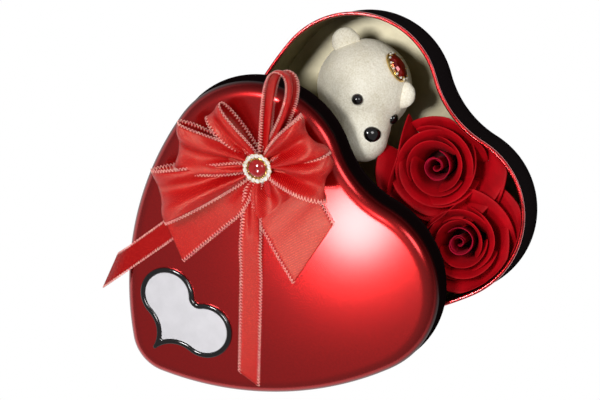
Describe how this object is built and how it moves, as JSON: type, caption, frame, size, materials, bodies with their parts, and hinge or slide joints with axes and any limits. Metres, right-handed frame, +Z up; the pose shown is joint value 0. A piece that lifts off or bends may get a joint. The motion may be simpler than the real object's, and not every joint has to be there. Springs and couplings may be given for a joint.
{
  "type": "heart-shaped gift tin",
  "caption": "Heart-shaped gift tin with its lid lying askew, a satin ribbon bow, a jewelled brooch, a blank heart label, soap roses and a small plush bear inside.",
  "frame": {"origin": "on the base's flat underside, midway between the centres of its two lobes", "axes": "+Z up, +Y from the tip towards the notch between the lobes, +X to the right lobe seen from above with the tip towards the viewer"},
  "size_m": [0.1791, 0.2272, 0.1235],
  "materials": {
    "lacquered_tin": "near-black lacquered tinplate, gloss, with a red rolled rim and a gilt inside",
    "gilt_tin": "pale gold lacquered tinplate, gloss",
    "red_tin": "metallic red lacquered tinplate, satin, darkening to near black on the skirt",
    "label_edge": "black, gloss",
    "label_paper": "white, smooth, bare",
    "satin_ribbon": "red satin with looped edges",
    "gilt_metal": "bright gilt",
    "silver_metal": "bright silver-coloured",
    "clear_stones": "clear cut stones",
    "red_bead": "red enamel bead, gloss",
    "red_gem": "dark red cut stone",
    "plush": "short cream plush",
    "black_beads": "black, gloss",
    "rose_petals": "deep red soap-foam petals, matt",
    "rose_cup": "dark red soap foam, matt"
  },
  "bodies": {
    "base": {"base_wall": "lacquered_tin", "base_floor": "gilt_tin", "bear_head": "plush", "bear_muzzle": "plush", "bear_nose": "black_beads", "bear_ear_left": "plush", "bear_ear_right": "plush", "bear_eye_left": "black_beads", "bear_eye_right": "black_beads", "bear_body": "plush", "bear_arm_left": "plush", "bear_arm_right": "plush", "bear_leg_left": "plush", "bear_leg_right": "plush", "gem_setting": "silver_metal", "gem_stone": "red_gem", "gem_crystals": "clear_stones", "rose_a_cup": "rose_cup", "rose_a_outer_petals": "rose_petals", "rose_a_inner_petals": "rose_petals", "rose_a_bud": "rose_petals", "rose_b_cup": "rose_cup", "rose_b_outer_petals": "rose_petals", "rose_b_inner_petals": "rose_petals", "rose_b_bud": "rose_petals", "rose_c_cup": "rose_cup", "rose_c_outer_petals": "rose_petals", "rose_c_inner_petals": "rose_petals", "rose_c_bud": "rose_petals"},
    "lid": {"lid_shell": "red_tin", "label_frame": "label_edge", "label_face": "label_paper", "bow_knot": "satin_ribbon", "bow_loop_upper_left": "satin_ribbon", "bow_loop_lower_left": "satin_ribbon", "bow_loop_small": "satin_ribbon", "bow_loop_upper_right": "satin_ribbon", "bow_loop_lower_right": "satin_ribbon", "bow_tail_left": "satin_ribbon", "bow_tail_right": "satin_ribbon", "narrow_tail_left": "satin_ribbon", "narrow_tail_straight": "satin_ribbon", "narrow_loop": "satin_ribbon", "brooch_setting": "gilt_metal", "brooch_stones": "clear_stones", "brooch_bead": "red_bead"}
  },
  "joints": [
    {"name": "lid_lift", "type": "slide", "parent": "base", "child": "lid", "axis": [0, 0, 1], "range_m": [0, 0.12]}
  ]
}
